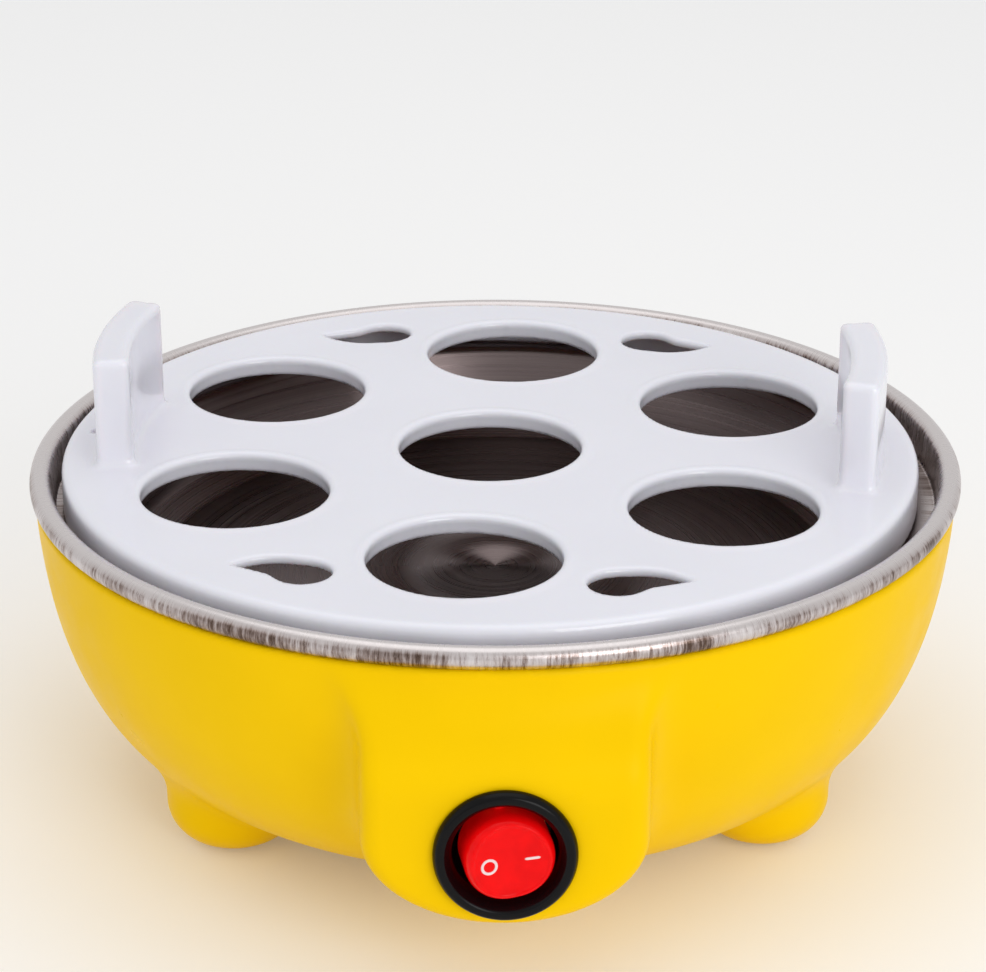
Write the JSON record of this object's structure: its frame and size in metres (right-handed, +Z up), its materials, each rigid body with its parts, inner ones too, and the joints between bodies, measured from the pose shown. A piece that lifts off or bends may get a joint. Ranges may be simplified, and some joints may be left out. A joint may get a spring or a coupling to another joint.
{
  "type": "egg cooker",
  "caption": "Round electric egg boiler: moulded bowl base with stub feet and a lit rocker switch, steel water pan, and a lift-out rack with upright handles.",
  "frame": {"origin": "centre of the floor contact plane, under the middle of the pan", "axes": "+Z up; the switch faces -Y; +X to the right as seen from the switch"},
  "size_m": [0.166, 0.1783, 0.0815],
  "materials": {
    "yellow_plastic": "moulded, soft gloss",
    "black_plastic": "fine satin",
    "rubber": "matt",
    "screw_steel": "zinc plated",
    "pan_steel": "brushed, rolled rim",
    "aluminium": "milled",
    "element_sheath": "oxidised sheath",
    "ceramic": "unglazed",
    "plated_steel": "plated sheet",
    "sleeving": "woven glass sleeve",
    "block_plastic": "satin",
    "red_lens": "translucent, glossy",
    "brass": "stamped",
    "lamp_glass": "clear",
    "brown_wire": "satin",
    "grey_wire": "satin",
    "blue_wire": "satin",
    "white_plastic": "moulded, glossy"
  },
  "bodies": {
    "base": {"housing": "yellow_plastic", "bottom_cover": "black_plastic", "foot_pads": "rubber", "cover_screws": "screw_steel", "heating_pan": "pan_steel", "heat_spreader": "aluminium", "heating_element": "element_sheath", "element_tabs": "ceramic", "pan_studs": "screw_steel", "clamp_bar": "plated_steel", "stud_nuts": "screw_steel", "bar_screws": "screw_steel", "thermostat": "black_plastic", "thermostat_bracket": "plated_steel", "thermostat_screws": "screw_steel", "thermal_fuse": "sleeving", "fuse_clip": "plated_steel", "terminal_block": "block_plastic", "block_screw": "screw_steel", "cord_grommet": "rubber", "cord_clamp": "black_plastic", "clamp_screws": "screw_steel", "switch_body": "black_plastic", "switch_terminals": "brass", "switch_lamp": "lamp_glass", "live_wire": "brown_wire", "switched_wire": "grey_wire", "neutral_wire": "blue_wire"},
    "rocker": {"rocker": "red_lens", "rocker_plunger": "block_plastic"},
    "contact": {"contact_lever": "brass"},
    "rack": {"egg_rack": "white_plastic"}
  },
  "joints": [
    {"name": "rack_lift", "type": "slide", "parent": "base", "child": "rack", "axis": [0, 0, 1], "range_m": [0, 0.09]},
    {"name": "rocker_tilt", "type": "hinge", "parent": "base", "child": "rocker", "pos_m": [0, -0.0866, 0.0284], "axis": [0.1392, 0, -0.9903], "range_deg": [0, 18]},
    {"name": "contact_tilt", "type": "hinge", "parent": "base", "child": "contact", "pos_m": [0, -0.0782, 0.0284], "axis": [-0.1392, 0, 0.9903], "range_deg": [0, 18]}
  ],
  "couplings": [
    {"joint": "contact_tilt", "follows": "rocker_tilt", "ratio": 1}
  ]
}
